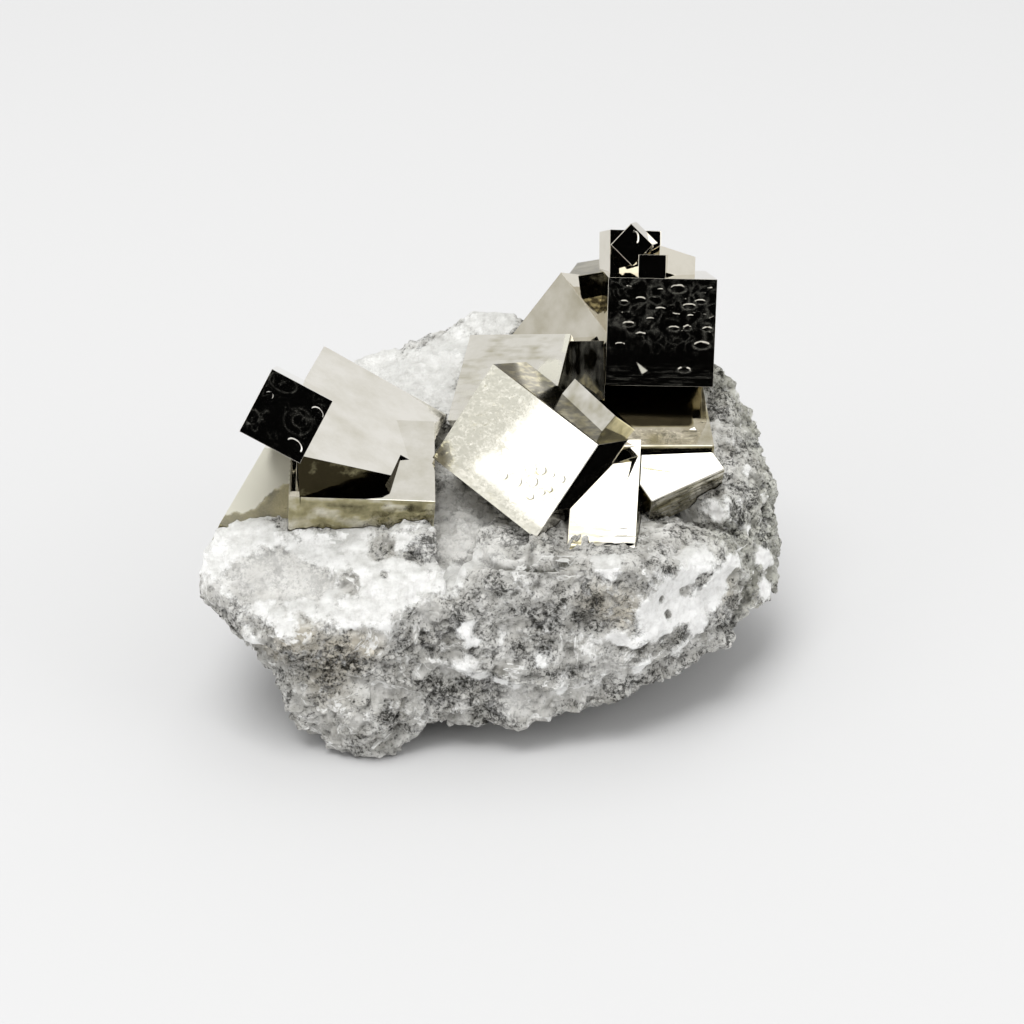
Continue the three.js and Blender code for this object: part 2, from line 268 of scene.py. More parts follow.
# the crack along the top of the front chunk and the short one in the round lump
CRACK = (
    (-15.5, -35.1, 33.6), (-12.8, -32.1, 35.8), (-9.8, -27.7, 35.2), (-5.6, -25.5, 35.6),
    (0, -32.8, 39.4), (5.4, -32.6, 39.1), (9.9, -32.6, 39.5), (12, -29.4, 39.5))
LUMP_CRACK = (
    (5.2, -32, 39.2), (5.4, -29, 40.5), (6, -26.6, 41.2))
CRACK_DEPTH = 1.4
LUMP_CRACK_DEPTH = 0.5
CRUST_RISE = 0.35
# ground where the stone is worn smooth, where it is pale and where it is knobbly
WORN = (
    (7, -26, 40, 6.0), (-44, -28, 36, 5.0), (-36, -31, 35, 4.0), (12, -33, 39, 4.0))
PALE = (
    (-46.8, -29.1, 34.6, 4), (-42.3, -28.6, 35.6, 4.5), (-37.2, -29.6, 35.5, 4.5),
    (-33.3, -32, 33.8, 3.5), (-9.6, -9.7, 40, 4), (-6.7, -15.7, 38, 5), (-9.4, -21.9, 36.7, 4.5),
    (-1.9, -27.6, 39.3, 4), (20.2, -34.1, 18.1, 3), (46.3, -12, 16.8, 3), (3.6, -35.6, 12, 3.5))
KNOBBLY = (
    (52, 0, 30, 9.0), (51, 12, 38, 9.0), (47, 22, 45, 8.0), (49, -9, 22, 8.0), (44, -14, 33, 6.0),
    (52, 2, 20, 8.0), (42, 25, 50, 6.0))
# tiers of relief: size of the pattern and its height
BROKEN = (12.0, 1.5)
CRAGS = (6.0, 0.75)
LUMPS = (3.1, 0.8)
GRAINS = (1.25, 0.5)
HOLES = (2.0, 0.9)
# ledges on the front, as x and z, and ground that stands back: place and spread
LEDGES = (
    ((-19, 22), (-5.5, 19), (11, 14), (21.5, 17), (37, 19), (46, 22)),
    ((-42, 23), (-32, 20.5), (-22, 19.5), (-14, 14)))
RECESSES = ((31, -29, 31, 4.5), (36, -25, 28, 5.0), (-12, -37, 12, 3.5), (-35, -38, 13, 3.0))
LEDGE_DEPTH = 1.2
RECESS_DEPTH = 1.3


def spread(point, patches):
    """The sum of round soft patches at a point: each gives 1 at its middle and fades outward."""
    total = 0.0
    for x, y, z, radius in patches:
        away = (point.x - x) ** 2 + (point.y - y) ** 2 + (point.z - z) ** 2
        if away < radius * radius * 6:
            total += math.exp(-away / (radius * radius))
    return total


def near_line(point, line):
    """The point's distance from a line of straight stretches, in mm."""
    best = 1e9
    for a, b in zip(line, line[1:]):
        a = Vector(a)
        b = Vector(b)
        t = max(0.0, min(1.0, (point - a).dot(b - a) / (b - a).length_squared))
        best = min(best, (a + (b - a) * t - point).length)
    return best


def smooth(value, start, end):
    t = max(0.0, min(1.0, (value - start) / (end - start)))
    return t * t * (3 - 2 * t)


def calcite_at(point):
    """How strongly calcite covers a point of the stone, with a ragged edge."""
    ragged = noise.fractal(point / 4.0, 0.8, 2.1, 4) * 0.5
    return spread(point, CALCITE) - 2.0 * spread(point, BARE_PATCHES) + ragged


def link_mesh(name, mesh):
    made = bpy.data.objects.new(name, mesh)
    bpy.context.scene.collection.objects.link(made)
    return made


def settle(thing):
    """The thing's mesh with its modifiers worked in, as a plain mesh without modifiers."""
    view = bpy.context.evaluated_depsgraph_get()
    finished = bpy.data.meshes.new_from_object(thing.evaluated_get(view))
    old = thing.data
    thing.modifiers.clear()
    thing.data = finished
    finished.name = thing.name
    bpy.data.meshes.remove(old)
    return thing


def cut(thing, tool, operation):
    step = thing.modifiers.new("cut", "BOOLEAN")
    step.solver = "MANIFOLD"
    step.operation = operation
    step.object = tool
    settle(thing)
    return thing


def rock_lump(name, chunks, origin):
    shape = bmesh.new()
    for corners in chunks:
        places = [[a + b for a, b in zip(corner, ROCK_SHIFT)] for corner in corners]
        points = [shape.verts.new(origin + Vector(place) * MM) for place in places]
        hull = bmesh.ops.convex_hull(shape, input=points)
        spare = [e for e in hull["geom_interior"] if isinstance(e, bmesh.types.BMVert)]
        bmesh.ops.delete(shape, geom=spare, context="VERTS")
    mesh = bpy.data.meshes.new(name)
    shape.to_mesh(mesh)
    shape.free()
    lump = link_mesh(name, mesh)
    step = lump.modifiers.new("voxels", "REMESH")
    step.mode = "VOXEL"
    step.voxel_size = ROCK_VOXEL * MM
    return settle(lump)


def coarse_relief(p):
    broken = noise.fractal(p / BROKEN[0], 0.9, 2.0, 3) * BROKEN[1]
    crags = noise.ridged_multi_fractal(p / CRAGS[0], 1.0, 2.1, 4, 0.9, 1.6) * CRAGS[1]
    return broken + crags


def ledge_step(p):
    """How far the stone stands back under its front ledges, in mm."""
    total = RECESS_DEPTH * spread(p, RECESSES)
    ragged = 1.4 * noise.noise(p / 4.0)
    for line in LEDGES:
        for (ax, az), (bx, bz) in zip(line, line[1:]):
            if p.y < -8 and ax <= p.x < bx:
                under = az + (bz - az) * (p.x - ax) / (bx - ax) + ragged - p.z
                total += LEDGE_DEPTH * smooth(under, -0.3, 0.7) * smooth(under, 7.0, 1.5)
    return total


def fine_relief(p, knobbly):
    near = noise.voronoi(p / LUMPS[0])[0]
    lumps = (0.45 - near[0]) * LUMPS[1] * (1 + 1.3 * knobbly)
    grains = noise.fractal(p / GRAINS[0], 0.6, 2.0, 3) * GRAINS[1]
    hollow = noise.noise(p / HOLES[0] + Vector((7, 3, 5)))
    return lumps + grains - smooth(hollow, 0.3, 0.62) * HOLES[1]


rock_low, rock_high = (Vector(c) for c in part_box("matrix"))
rock_origin = Vector(((rock_low.x + rock_high.x) / 2, (rock_low.y + rock_high.y) / 2, rock_low.z))
rock = rock_lump("marl_matrix", (CORE, FRONT_CHUNK, RIGHT_SHOULDER, BACK_RIDGE, LEFT_TERRACE,
                                 FRONT_NOSE, ROUND_LUMP), rock_origin)
rock_mesh = rock.data
rock_mesh.update()
rock_points = [(v.co - rock_origin) / MM for v in rock_mesh.vertices]
rock_normals = [v.normal.copy() for v in rock_mesh.vertices]
# what the stone's surface and its grains need to know at each point
rock_values = {"calcite": [], "ochre": [], "pale": [], "knobbly": [], "hollow": [], "grainy": []}
heights = []
for p in rock_points:
    crust = smooth(calcite_at(p), 0.25, 0.7)
    worn = min(1.0, spread(p, WORN))
    knobbly = min(1.0, spread(p, KNOBBLY))
    fine = fine_relief(p, knobbly)
    height = coarse_relief(p) * (1 - 0.5 * worn) + fine * (1 - 0.55 * crust) * (1 - 0.6 * worn)
    heights.append(height + CRUST_RISE * crust)
    rock_values["calcite"].append(calcite_at(p))
    rock_values["ochre"].append(min(1.0, spread(p, OCHRE)))
    rock_values["pale"].append(min(1.0, spread(p, PALE)))
    rock_values["knobbly"].append(knobbly)
    # painted shade: the hollow value darkens the stone's colour in the hollows of the fine relief and along
    # both cracks
    crack = 2.0 * smooth(near_line(p, CRACK), 1.3, 0.6) + smooth(near_line(p, LUMP_CRACK), 0.9, 0.4)
    rock_values["hollow"].append(smooth(fine, 0.15, -0.75) + crack)
    patchy = smooth(noise.noise(p / 7.0), -0.25, 0.45)
    off_table = smooth(p.z, 1.5, 4.0)
    rock_values["grainy"].append(off_table * max(0.0, patchy + 0.5 * knobbly - 0.8 * crust - worn))
middle_height = sum(heights) / len(heights)
for vertex, p, normal, height in zip(rock_mesh.vertices, rock_points, rock_normals, heights):
    depth = smooth(near_line(p, CRACK), 1.9, 0.4) * CRACK_DEPTH
    depth += smooth(near_line(p, LUMP_CRACK), 0.6, 0.1) * LUMP_CRACK_DEPTH + ledge_step(p)
    q = p + normal * (height - middle_height - depth)
    q.z = max(q.z, 0.0)
    vertex.co = rock_origin + q * MM
for name, values in rock_values.items():
    rock_mesh.attributes.new(name, "FLOAT", "POINT").data.foreach_set("value", values)
rock_mesh.update()


# ---- The left crystals -----------------------------------------------------------------
# Four intergrown pyrite crystals on the left shelf: a broad plate with a broken lower edge,
# a thin edge plate, a low block and a black-looking cube. Pyrite is solid iron sulphide,
# pale brassy with mirror-bright growth faces.
EDGE_ROUND = 0.05
FADE = 0.4
SHARP_ANGLE = 32.0
# each face: the axis that it faces, its sign, and the axes and signs of its u and v
FACES = {
    "front": (1, -1, (0, 1), (2, 1)), "back": (1, 1, (0, -1), (2, 1)),
    "left": (0, -1, (1, -1), (2, 1)), "right": (0, 1, (1, 1), (2, 1)),
    "top": (2, 1, (0, 1), (1, 1)), "bottom": (2, -1, (0, 1), (1, -1))}
BLOCKS = {}
SOCKET_GAP = 0.12


def side_lines(half, pitch):
    inner = half - EDGE_ROUND
    count = max(2, round(2 * inner / pitch))
    between = [-inner + 2 * inner * i / count for i in range(count + 1)]
    return [-half, -half + EDGE_ROUND / 2] + between + [half - EDGE_ROUND / 2, half]


def rounded(q, half):
    inner = Vector(max(-(h - EDGE_ROUND), min(h - EDGE_ROUND, c)) for c, h in zip(q, half))
    return inner + (q - inner).normalized() * EDGE_ROUND


def crystal_turn(turn):
    heading, lean, roll = (math.radians(a) for a in turn)
    return Matrix.Rotation(heading, 4, "Z") @ Matrix.Rotation(lean, 4, "X") @ Matrix.Rotation(roll, 4, "Y")


def crystal(name, node, size, offset, turn, pitch=0.8, relief=None, tarnish_shade_and_reflection=None, dust_and_highlight=None, deep=None):
    """A block with rounded edges; relief gives each face's height, and tarnish and dust give its films,
    which also carry painted reflection, shade and highlights.

    pitch is the spacing of the mesh, and deep its spacing from front to back."""
    origin = node_middle(node)
    BLOCKS[name] = (origin, size, offset, turn)
    half = [side / 2 for side in size]
    lines = [side_lines(h, step) for h, step in zip(half, (pitch, deep or pitch, pitch))]
    points = []
    index = {}
    polygons = []
    uvs = []
    tones = []
    dust_and_highlight_values = []
    for order, (face, (axis, sign, (ua, us), (va, vs))) in enumerate(FACES.items()):
        shape = (relief or {}).get(face)
        grid = []
        for v in lines[va]:
            row = []
            for u in lines[ua]:
                q = Vector((0, 0, 0))
                q[axis] = sign * half[axis]
                q[ua] = us * u
                q[va] = vs * v
                key = (round(q.x, 4), round(q.y, 4), round(q.z, 4))
                if key not in index:
                    index[key] = len(points)
                    p = rounded(q, half)
                    if shape:
                        edge = min(half[ua] - abs(u), half[va] - abs(v))
                        p[axis] += sign * shape(u, v) * smooth(edge, EDGE_ROUND, FADE)
                    points.append(p)
                row.append((index[key], (u, v)))
            grid.append(row)
        tone = (tarnish_shade_and_reflection or {}).get(face, 0.0)
        powder_and_highlight = (dust_and_highlight or {}).get(face, 0.0)
        for low_row, high_row in zip(grid, grid[1:]):
            for a, b, c, d in zip(low_row, low_row[1:], high_row[1:], high_row):
                polygons.append((a[0], b[0], c[0], d[0]))
                for corner in (a, b, c, d):
                    u, v = corner[1]
                    uvs.extend(((u + 60 * order) * MM, v * MM))
                    tones.append(tone(u, v) if callable(tone) else tone)
                    dust_and_highlight_values.append(powder_and_highlight(u, v) if callable(powder_and_highlight) else powder_and_highlight)
    place = Matrix.Translation(origin + Vector(offset) * MM) @ crystal_turn(turn)
    mesh = bpy.data.meshes.new(name)
    mesh.from_pydata([place @ (p * MM) for p in points], [], polygons)
    mesh.uv_layers.new(name="growth").data.foreach_set("uv", uvs)
    mesh.attributes.new("tarnish_shade_and_reflection", "FLOAT", "CORNER").data.foreach_set("value", tones)
    mesh.attributes.new("dust_and_highlight", "FLOAT", "CORNER").data.foreach_set("value", dust_and_highlight_values)
    return link_mesh(name, mesh)


def node_middle(node):
    lo, hi = (Vector(c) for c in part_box(node))
    return (lo + hi) / 2


def grown_block(name, gap=SOCKET_GAP):
    """A plain block a little larger than the named crystal, to cut its room out of a piece."""
    origin, size, offset, turn = BLOCKS[name]
    shape = bmesh.new()
    bmesh.ops.create_cube(shape, size=1.0)
    grown = Matrix.Diagonal([(side + 2 * gap) * MM for side in size] + [1.0])
    place = Matrix.Translation(origin + Vector(offset) * MM) @ crystal_turn(turn)
    bmesh.ops.transform(shape, matrix=place @ grown, verts=shape.verts)
    mesh = bpy.data.meshes.new("room for " + name)
    shape.to_mesh(mesh)
    shape.free()
    return link_mesh(mesh.name, mesh)


def make_room(piece, names):
    for name in names:
        tool = grown_block(name)
        cut(piece, tool, "DIFFERENCE")
        bpy.data.objects.remove(tool)


def wave(u, v, height, length, seed):
    return height * noise.noise(Vector((u / length, v / length, seed)))


def streaks(u, v, along, across, seed):
    return noise.fractal(Vector((u / along, v / across, seed)), 0.7, 2.0, 3)


def pit(u, v, at, radii, turn, depth, rim=0.25):
    du = u - at[0]
    dv = v - at[1]
    if abs(du) > 2.5 * max(radii) or abs(dv) > 2.5 * max(radii):
        return 0.0
    c = math.cos(math.radians(turn))
    s = math.sin(math.radians(turn))
    away = math.hypot((du * c + dv * s) / radii[0], (dv * c - du * s) / radii[1])
    bowl = -depth * smooth(away, 1.0, 0.8)
    return bowl + rim * depth * math.exp(-((away - 1.06) / 0.1) ** 2)


def ring(u, v, at, radii, width):
    """How near a point lies to an oval line, from 0 to 1."""
    away = math.hypot((u - at[0]) / radii[0], (v - at[1]) / radii[1])
    return math.exp(-((away - 1.0) / width) ** 2)


def cells(u, v, size, width, seed):
    """A net of thin lines between rounded cells, from 0 to 1."""
    bend_u = noise.noise(Vector((u / size, v / size, seed + 5)))
    bend_v = noise.noise(Vector((v / size, u / size, seed + 9)))
    near = noise.voronoi(Vector((u / size + 0.5 * bend_u, v / size - 0.5 * bend_v, seed)))[0]
    return smooth(near[1] - near[0], width, 0.0)


def pyrite(name, clean, tarnished, brown, roughness):
    """A mirror-like metal whose colour turns brown with tarnish, under a dull pale dust; the tarnish also
    paints reflection and shade, and the dust paints highlights.
    """
    material = new_material(name)
    tree = material.node_tree
    place = add_node(tree, "ShaderNodeTexCoord").outputs["Object"]
    growth = add_node(tree, "ShaderNodeUVMap", {"uv_map": "growth"}).outputs["UV"]
    # painted reflection and shade come in with the tarnish attribute, painted highlights with the dust
    # attribute
    film_shade_and_reflection = add_node(tree, "ShaderNodeAttribute", {"attribute_name": "tarnish_shade_and_reflection"}).outputs["Fac"]
    powder_and_highlight = add_node(tree, "ShaderNodeAttribute", {"attribute_name": "dust_and_highlight"}).outputs["Fac"]
    cloud = add_node(tree, "ShaderNodeTexNoise", {"Scale": 0.19 / MM, "Detail": 5.0, "Roughness": 0.6},
                     {"Vector": place}).outputs[0]
    stretch = add_node(tree, "ShaderNodeMapping", {"Scale": (0.14 / MM, 1.5 / MM, 1.0)}, {"Vector": growth})
    grain = add_node(tree, "ShaderNodeTexNoise", {"Scale": 1.0, "Detail": 4.0},
                     {"Vector": stretch.outputs[0]}).outputs[0]
    gain = add_node(tree, "ShaderNodeMath", {"operation": "MULTIPLY_ADD", 1: 1.5, 2: 0.25}, {0: cloud})
    patchy = add_node(tree, "ShaderNodeMath", {"operation": "MULTIPLY"}, {0: film_shade_and_reflection, 1: gain.outputs[0]})
    uneven = add_node(tree, "ShaderNodeMath", {"operation": "MULTIPLY_ADD", 1: 0.3, 2: -0.13},
                      {0: cloud})
    depth = add_node(tree, "ShaderNodeMath", {"operation": "ADD", "use_clamp": True},
                     {0: patchy.outputs[0], 1: uneven.outputs[0]})
    tone = add_node(tree, "ShaderNodeValToRGB", links={0: depth.outputs[0]})
    tone.color_ramp.elements[0].color = linear(clean)
    tone.color_ramp.elements[1].color = linear(brown)
    tone.color_ramp.elements.new(0.55).color = linear(tarnished)
    lines_bump = add_node(tree, "ShaderNodeBump", {"Strength": 0.12, "Distance": 0.04 * MM},
                          {"Height": grain})
    fine = add_node(tree, "ShaderNodeTexNoise", {"Scale": 0.9 / MM, "Detail": 3.0}, {"Vector": place})
    bump = add_node(tree, "ShaderNodeBump", {"Strength": 0.10, "Distance": 0.05 * MM},
                    {"Height": fine.outputs[0], "Normal": lines_bump.outputs[0]})
    gloss = add_node(tree, "ShaderNodeMath", {"operation": "MULTIPLY_ADD", 1: 0.12, 2: roughness},
                     {0: depth.outputs[0]})
    metal = add_node(tree, "ShaderNodeBsdfPrincipled", {"Metallic": 1.0}, {
        "Base Color": tone.outputs[0], "Roughness": gloss.outputs[0], "Normal": bump.outputs[0]})
    dust_and_highlight_coat = add_node(tree, "ShaderNodeBsdfPrincipled", {"Base Color": linear("#B7B5A9"),
                     "Roughness": 0.9, "Specular IOR Level": 0.2})
    speck = add_node(tree, "ShaderNodeTexNoise", {"Scale": 2.6 / MM, "Detail": 2.0}, {"Vector": place})
    powder_level = add_node(tree, "ShaderNodeMath", {"operation": "MULTIPLY_ADD", 1: 0.7, 2: 0.65},
                            {0: speck.outputs[0]})
    cover = add_node(tree, "ShaderNodeMath", {"operation": "MULTIPLY", "use_clamp": True},
                     {0: powder_and_highlight, 1: powder_level.outputs[0]})
    surface = add_node(tree, "ShaderNodeMixShader", links={0: cover.outputs[0],
                       1: metal.outputs[0], 2: dust_and_highlight_coat.outputs[0]})
    add_node(tree, "ShaderNodeOutputMaterial", links={"Surface": surface.outputs[0]})
    return material


def grow_together(name, crystals):
    """The crystals joined in one closed solid."""
    whole = crystals[0]
    for other in crystals[1:]:
        cut(whole, other, "UNION")
        bpy.data.objects.remove(other)
    whole.name = name
    whole.data.name = name
    return whole


def finish_piece(piece, material, node):
    mesh = piece.data
    mesh.materials.clear()
    mesh.materials.append(material)
    mesh.shade_smooth()
    mesh.set_sharp_from_angle(angle=math.radians(SHARP_ANGLE))
    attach(piece, "root")
    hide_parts(node)


# shallow pits of a face: place, radii, turn and depth
CUBE_PITS = (
    ((4.6, 3.1), (1.4, 0.95), -20, 0.09), ((3.7, -3.9), (1.7, 1.1), -15, 0.1),
    ((-4.4, 1.8), (0.9, 0.8), 30, 0.06), ((-3.3, 5.4), (1.9, 0.8), 10, 0.05),
    ((-5.0, -2.6), (1.0, 1.1), 20, 0.04))


# faint growth rings, painted pale as highlights: brightness, place, radii and width
CUBE_RING_HIGHLIGHTS = (
    (0.06, (2.5, 0.4), (1.3, 1.1), 0.08), (0.03, (2.3, 0.2), (2.6, 2.3), 0.05),
    (0.08, (-5.2, -2.9), (1.2, 1.3), 0.1), (0.06, (-3.2, 5.0), (2.6, 1.5), 0.06))


def black_cube_relief(u, v):
    h = wave(u, v, 0.03, 3.0, 1) + 0.02 * cells(u, v, 2.6, 0.2, 3)
    for at, radii, turn, depth in CUBE_PITS:
        h += pit(u, v, at, radii, turn, depth)
    return h


# painted highlight: pale rings and a faint net where the pits' rims catch the light
def black_cube_painted_highlights(u, v):
    lit = sum(glow * ring(u, v, at, radii, width) for glow, at, radii, width in CUBE_RING_HIGHLIGHTS)
    lit += 0.06 * cells(u, v, 1.7, 0.08, 41) * smooth(streaks(u, v, 3, 3, 42), 0.0, 0.5)
    return max(0.0, lit * (0.7 + 1.2 * streaks(u, v, 1.0, 1.0, 43)))


# painted reflection: the olive band and strip on the edge plate's front stand for the low block's olive
# side mirrored in it
def edge_plate_tarnish_and_reflection(u, v):
    along = (u + 9.1) * 0.81 + (v + 12.7) * 0.59
    across = -(u + 9.1) * 0.59 + (v + 12.7) * 0.81
    limit = 1.6 + 5.2 * smooth(along, 5.0, 12.5) + 1.1 * streaks(u, v, 4, 4, 51)
    strip = smooth((u + 3.1) * 0.91 + (v - 5.2) * 0.41, -0.1, 0.15)
    return 0.06 + 0.62 * max(strip, smooth(across, limit + 0.6, limit - 0.8))


# painted reflection: the pale coat laid where the front is not olive stands for the white room mirrored in
# it
def edge_plate_dust_and_reflection(u, v):
    return 1.5 - 1.3 * smooth(edge_plate_tarnish_and_reflection(u, v), 0.1, 0.6)


# painted reflection: the olive over the low block's front, darker towards the bottom, stands for the shaded
# floor and stone that the face mirrors
def low_block_tarnish_and_reflection(u, v):
    return 0.5 + 0.45 * streaks(u, v, 7, 3.5, 52) + 0.2 * smooth(v, 0, -7)


def break_relief(u, v):
    return 0.03 * streaks(u, v, 9, 0.7, 53)


left_parts = [
    crystal("broad plate", "left_cluster", (27.2, 13.0, 42.5), (3.3, -0.5, -2.2), (83, -62, 93),
            tarnish_shade_and_reflection={"front": lambda u, v: 0.04 + 0.05 * streaks(u, v, 9, 9, 55)}),
    crystal("edge plate", "left_cluster", (18.0, 7.0, 26.0), (-7.9, -2.1, -11.8), (32, -54, 50), 0.4,
            tarnish_shade_and_reflection={"front": edge_plate_tarnish_and_reflection, "bottom": 0.5}, dust_and_highlight={"front": edge_plate_dust_and_reflection}),
    crystal("low block", "left_cluster", (26.7, 24.0, 15.6), (6.2, -3.1, -8.5), (2, 10, 4), 0.6,
            tarnish_shade_and_reflection={"front": low_block_tarnish_and_reflection, "top": 0.1}),
    crystal("black cube", "left_cluster", (12.1, 13.2, 12.5), (-5.7, -13.6, 13.2), (2, -24, 29), 0.14,
            {"front": black_cube_relief}, dust_and_highlight={"front": black_cube_painted_highlights}, deep=0.8)]
plate_break = crystal("plate break", "left_cluster", (60, 30, 50), (8.7, -29.4, 0.5), (18, 12, 25), 0.45,
                      {"back": break_relief}, {"back": 1.1, "right": 1.1, "left": 1.1, "top": 0.6})
plate_notch = crystal("plate notch", "left_cluster", (12, 30, 20), (17.3, -14.5, -3.0), (83, -62, 93),
                      tarnish_shade_and_reflection={face: 1.1 for face in FACES})
plate_end = crystal("plate end", "left_cluster", (16, 50, 12.5), (-13.0, -9.0, -3.75), (6, -29, 0))
for tool in (plate_break, plate_notch, plate_end):
    cut(left_parts[0], tool, "DIFFERENCE")
    bpy.data.objects.remove(tool)
# Clean cream-white mirror faces that turn olive and then brown where they are tarnished, and where olive
# and brown are painted in as reflection.
pale_pyrite = pyrite("pale pyrite", "#ECE9E1", "#A59E7C", "#322D1E", 0.03)
left = grow_together("left_crystals", left_parts)
finish_piece(left, pale_pyrite, "left_cluster")


# ---- The centre crystals ---------------------------------------------------------------
# The big bright block with ripples and round hillocks on its front face, the plate behind
# it and the cube wedged between them, all grown in one another.
HILLOCKS = (
    ((10.3, 1.3), 0.9), ((9.5, -1.6), 0.7), ((8.6, -2.9), 0.75), ((7.2, -4.9), 0.85), ((6.1, 0.3), 1.2),
    ((4.4, -0.6), 1.3), ((3.2, -4.3), 1.4), ((6.0, -2.4), 1.2), ((-7.4, 2.9), 1.3), ((-8.1, 1.2), 1.0),
    ((-7.5, 4.4), 0.8), ((0.6, -5.0), 1.1), ((-9.8, 0.2), 1.0), ((8.2, 0.9), 0.8))


def bright_block_relief(u, v):
    corner = smooth(u - 0.2 * v, -3.0, -13.0)
    rough = 0.35 + 0.9 * corner + 0.25 * smooth(v, -4.0, -10.0)
    h = wave(u, v, 0.05, 2.4, 11) + wave(u, v, 0.02, 0.8, 12)
    h = rough * (h + 0.04 * streaks(u + 0.6 * v, v - 0.6 * u, 3.4, 1.1, 14))
    for at, radius in HILLOCKS:
        h -= pit(u, v, at, (radius, radius * 0.85), 25, 0.022, 0.2)
    return h


# painted shade: the thin net of cell lines and the rings round the hillocks stand for the shading of the
# face's relief
def bright_block_tarnish_and_shade(u, v):
    corner = smooth(u - 0.2 * v, -4.0, -13.5)
    net = cells(u, v, 1.7, 0.10, 19) * smooth(streaks(u, v, 5, 5, 20), -0.3, 0.3)
    rings = max(ring(u, v, at, (radius, radius * 0.85), 0.13) for at, radius in HILLOCKS)
    edge = 0.35 * smooth(v, -5.0, -10.7)
    spots = 0.9 * smooth(noise.noise(Vector((u / 0.7, v / 0.7, 71))), 0.45, 0.6) * smooth(u, -3, -9)
    tip = smooth(math.hypot(u + 12.6, v + 10.7) + 2.0 * streaks(u, v, 2, 2, 78), 5.5, 2.0)
    film_shade_and_reflection = 0.06 * corner * (0.7 + streaks(u, v, 2.5, 1.2, 72)) + 0.3 * net + 0.35 * rings
    return film_shade_and_reflection + 0.2 * edge + spots + 1.5 * tip * (0.9 + 0.8 * streaks(u, v, 1.4, 0.8, 79))


def bright_block_dust(u, v):
    corner = smooth(u - 0.2 * v + 1.5 * streaks(u, v, 6, 6, 90), 1.5, -6.5)
    foot = smooth(v + 1.0 * streaks(u, v, 5, 3, 91), -5.5, -9.0)
    tip = smooth(math.hypot(u + 12.6, v + 10.7), 5.5, 2.0)
    wrinkles = 1.0 + 0.16 * streaks(u + 0.6 * v, v - 0.6 * u, 2.6, 1.1, 92)
    wrinkles -= 0.2 * cells(u, v, 1.7, 0.1, 93)
    return max(0.0, min(1.1, max(corner, 0.85 * foot) * wrinkles * (1 - 0.9 * tip)))


def rear_plate_tarnish(u, v):
    return 0.03 + 0.32 * max(0.0, streaks(u, v, 6, 1.8, 73) + 0.1) * smooth(u, 13, 4)


# painted highlight: the round pale glare around (8.2, 1.4) on the front face
def rear_plate_dust_and_glare(u, v):
    chip = smooth(u, 9.4, 9.9) * smooth(v, 5.2, 6.0) * smooth(10.2 - v, 0.0, 0.4)
    away = math.hypot((u - 8.2) / 3.2, (v - 1.4) / 2.6) + 0.5 * streaks(u, v, 2, 2, 77)
    grey = 0.25 * smooth(streaks(u, v, 5, 2.0, 74), 0.0, 0.6) * smooth(v, 6, 0)
    return max(chip, smooth(away, 1.1, 0.7), grey)


def wedged_tarnish(u, v):
    return 0.18 + 0.45 * smooth(v, 0.5, -3.5) + 0.25 * streaks(u, v, 4, 4, 75)


def top_streaks(u, v):
    return 0.85 + 0.5 * streaks(u, v, 1.2, 8, 76)


centre_parts = [
    crystal("bright block", "centre_cluster", (25.2, 16.6, 21.4), (-0.6, -12.1, 0.7), (-24, -23, 25), 0.16,
            {"front": bright_block_relief}, {"front": bright_block_tarnish_and_shade, "top": top_streaks},
            {"front": bright_block_dust}, deep=0.8),
    crystal("rear plate", "centre_cluster", (21.4, 21.0, 19.6), (-1.0, 10.5, -1.9), (-38, -55, -19), 0.3,
            tarnish_shade_and_reflection={"front": rear_plate_tarnish}, dust_and_highlight={"front": rear_plate_dust_and_glare}, deep=0.8),
    crystal("wedged cube", "centre_cluster", (12.5, 8.0, 9.2), (10.4, -7.4, 3.7), (-42, -41, 17), 0.3,
            tarnish_shade_and_reflection={"front": wedged_tarnish, "right": 0.6})]
# Cream-white mirror faces whose tarnish turns olive and then a soft brown, also where olive lines are
# painted in as shade.
bright_pyrite = pyrite("bright pyrite", "#ECE9E0", "#A69F80", "#46402F", 0.035)
centre = grow_together("centre_crystals", centre_parts)
finish_piece(centre, bright_pyrite, "centre_cluster")


# ---- The front block -------------------------------------------------------------------
# One thin block leaning back against the bright block, with a bright face, a ragged foot
# of fine growth steps and dark striated sides.
def foot_steps(u, v):
    return smooth(v, -6.0, -12.5) * (0.1 * streaks(u, v, 5, 0.9, 81) + wave(u, v, 0.12, 2.2, 82))


def foot_film(u, v):
    return smooth(v, -6.5, -12.5) * (0.2 + 0.6 * streaks(u, v, 6, 1.0, 83))


def side_grooves(u, v):
    wide = 0.12 * noise.noise(Vector((u / 0.55, v / 14, 84)))
    return wide + 0.05 * noise.noise(Vector((u / 0.2, v / 9, 85)))


front = crystal("front block", "front_block", (12.6, 9.0, 26.2), (0.2, 0.0, 0.4), (-16, -64, -10), 0.25,
                {"front": foot_steps, "right": side_grooves},
                {"front": foot_film, "right": 0.55, "bottom": 0.5})
make_room(front, ("bright block", "wedged cube"))
front.name = "front_crystal"
finish_piece(front, bright_pyrite, "front_block")


# ---- The right block -------------------------------------------------------------------
# The right-hand block with a bright top face and an olive front, striated along its length.
def block_grooves(u, v):
    wide = 0.14 * noise.noise(Vector((u / 12, v / 0.7, 86)))
    return wide + 0.05 * noise.noise(Vector((u / 8, v / 0.25, 87)))


def scratch(u, v):
    away = abs((u + 3.4) * 0.62 + (v - 0.2) * 0.78)
    return 0.8 * smooth(away, 0.16, 0.05) * smooth(abs((u + 3.4) * 0.78 - (v - 0.2) * 0.62), 3.2, 2.6)


right = crystal("right block", "right_block", (16.1, 11.0, 8.5), (-0.3, 2.8, 1.3), (32, 24, -12), 0.25,
                {"front": block_grooves},
                {"front": lambda u, v: 0.3 + 0.5 * streaks(u, v, 8, 0.8, 88), "top": scratch})
make_room(right, ("front block",))
right.name = "right_crystal"
finish_piece(right, bright_pyrite, "right_block")


